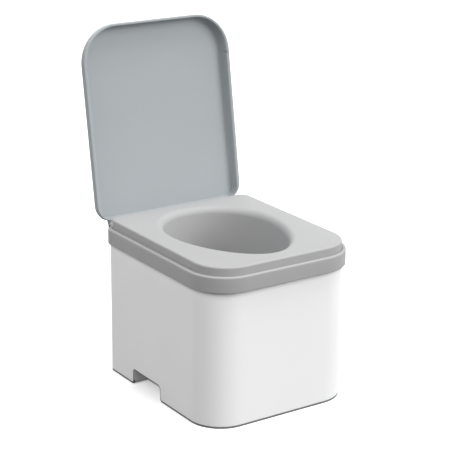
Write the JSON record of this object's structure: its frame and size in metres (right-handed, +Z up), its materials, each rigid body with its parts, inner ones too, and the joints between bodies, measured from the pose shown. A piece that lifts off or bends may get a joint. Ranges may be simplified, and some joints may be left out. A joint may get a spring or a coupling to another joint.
{
  "type": "composting toilet",
  "caption": "Compact dry toilet: white body with two hand grips, raised seat with an oval funnel opening, lid standing open, and a urine diverter, canister and bucket inside",
  "frame": {"origin": "the middle of the body's rounded rectangular underside, which is at ground level", "axes": "+Z up, -Y towards the toilet's front, +X to the right of a viewer who looks from the front at it"},
  "size_m": [0.34, 0.4873, 0.6794],
  "materials": {
    "body": "satin white moulded plastic",
    "seat_unit": "satin light grey moulded plastic",
    "diverter": "satin grey moulded plastic",
    "rubber": "black rubber with a dull surface",
    "steel": "zinc-plated and stainless steel",
    "bush": "black acetal",
    "canister": "natural blow-moulded polyethylene",
    "dark_plastic": "dark grey moulded plastic",
    "bucket": "satin light moulded plastic"
  },
  "bodies": {
    "base": {"body_shell": "body", "foot_pads": "rubber"},
    "seat_unit": {"seat_frame": "seat_unit", "rim_seal": "rubber", "seat": "seat_unit", "seat_screws": "steel", "diverter": "diverter", "hinge_pins": "steel", "pin_clips": "steel"},
    "lid": {"lid": "seat_unit", "hinge_bushes": "bush"},
    "canister": {"canister": "canister", "canister_handle": "dark_plastic", "handle_pins": "steel"},
    "ring_thread": {"spout_seal": "rubber"},
    "ring": {"screw_ring": "dark_plastic"},
    "bucket": {"bucket": "bucket", "bag_ring": "dark_plastic"},
    "bail": {"bail": "steel", "bail_grip": "dark_plastic"}
  },
  "joints": [
    {"name": "seat_lift", "type": "slide", "parent": "base", "child": "seat_unit", "axis": [0, 0, 1], "range_m": [0, 0.44]},
    {"name": "lid_hinge", "type": "hinge", "parent": "seat_unit", "child": "lid", "pos_m": [0, 0.1982, 0.2924], "axis": [1, 0, 0], "range_deg": [0, 99]},
    {"name": "canister_lift", "type": "slide", "parent": "base", "child": "canister", "axis": [0, 0, 1], "range_m": [0, 0.264]},
    {"name": "bucket_lift", "type": "slide", "parent": "base", "child": "bucket", "axis": [0, 0, 1], "range_m": [0, 0.264]},
    {"name": "bail_swing", "type": "hinge", "parent": "bucket", "child": "bail", "pos_m": [0, 0.068, 0.165], "axis": [-1, 0, 0], "range_deg": [0, 90]},
    {"name": "ring_rise", "type": "slide", "parent": "canister", "child": "ring_thread", "axis": [0, 0, 1], "range_m": [0, 0.004]},
    {"name": "ring_turn", "type": "hinge", "parent": "ring_thread", "child": "ring", "pos_m": [0, -0.1, 0.164], "axis": [0, 0, 1], "range_deg": [0, 360]}
  ],
  "couplings": [
    {"joint": "canister_lift", "follows": "seat_lift", "ratio": 0.6},
    {"joint": "bucket_lift", "follows": "seat_lift", "ratio": 0.6},
    {"joint": "bail_swing", "follows": "seat_lift", "rad_per_m": 3.569},
    {"joint": "ring_rise", "follows": "ring_turn", "m_per_rad": 0.000636}
  ]
}
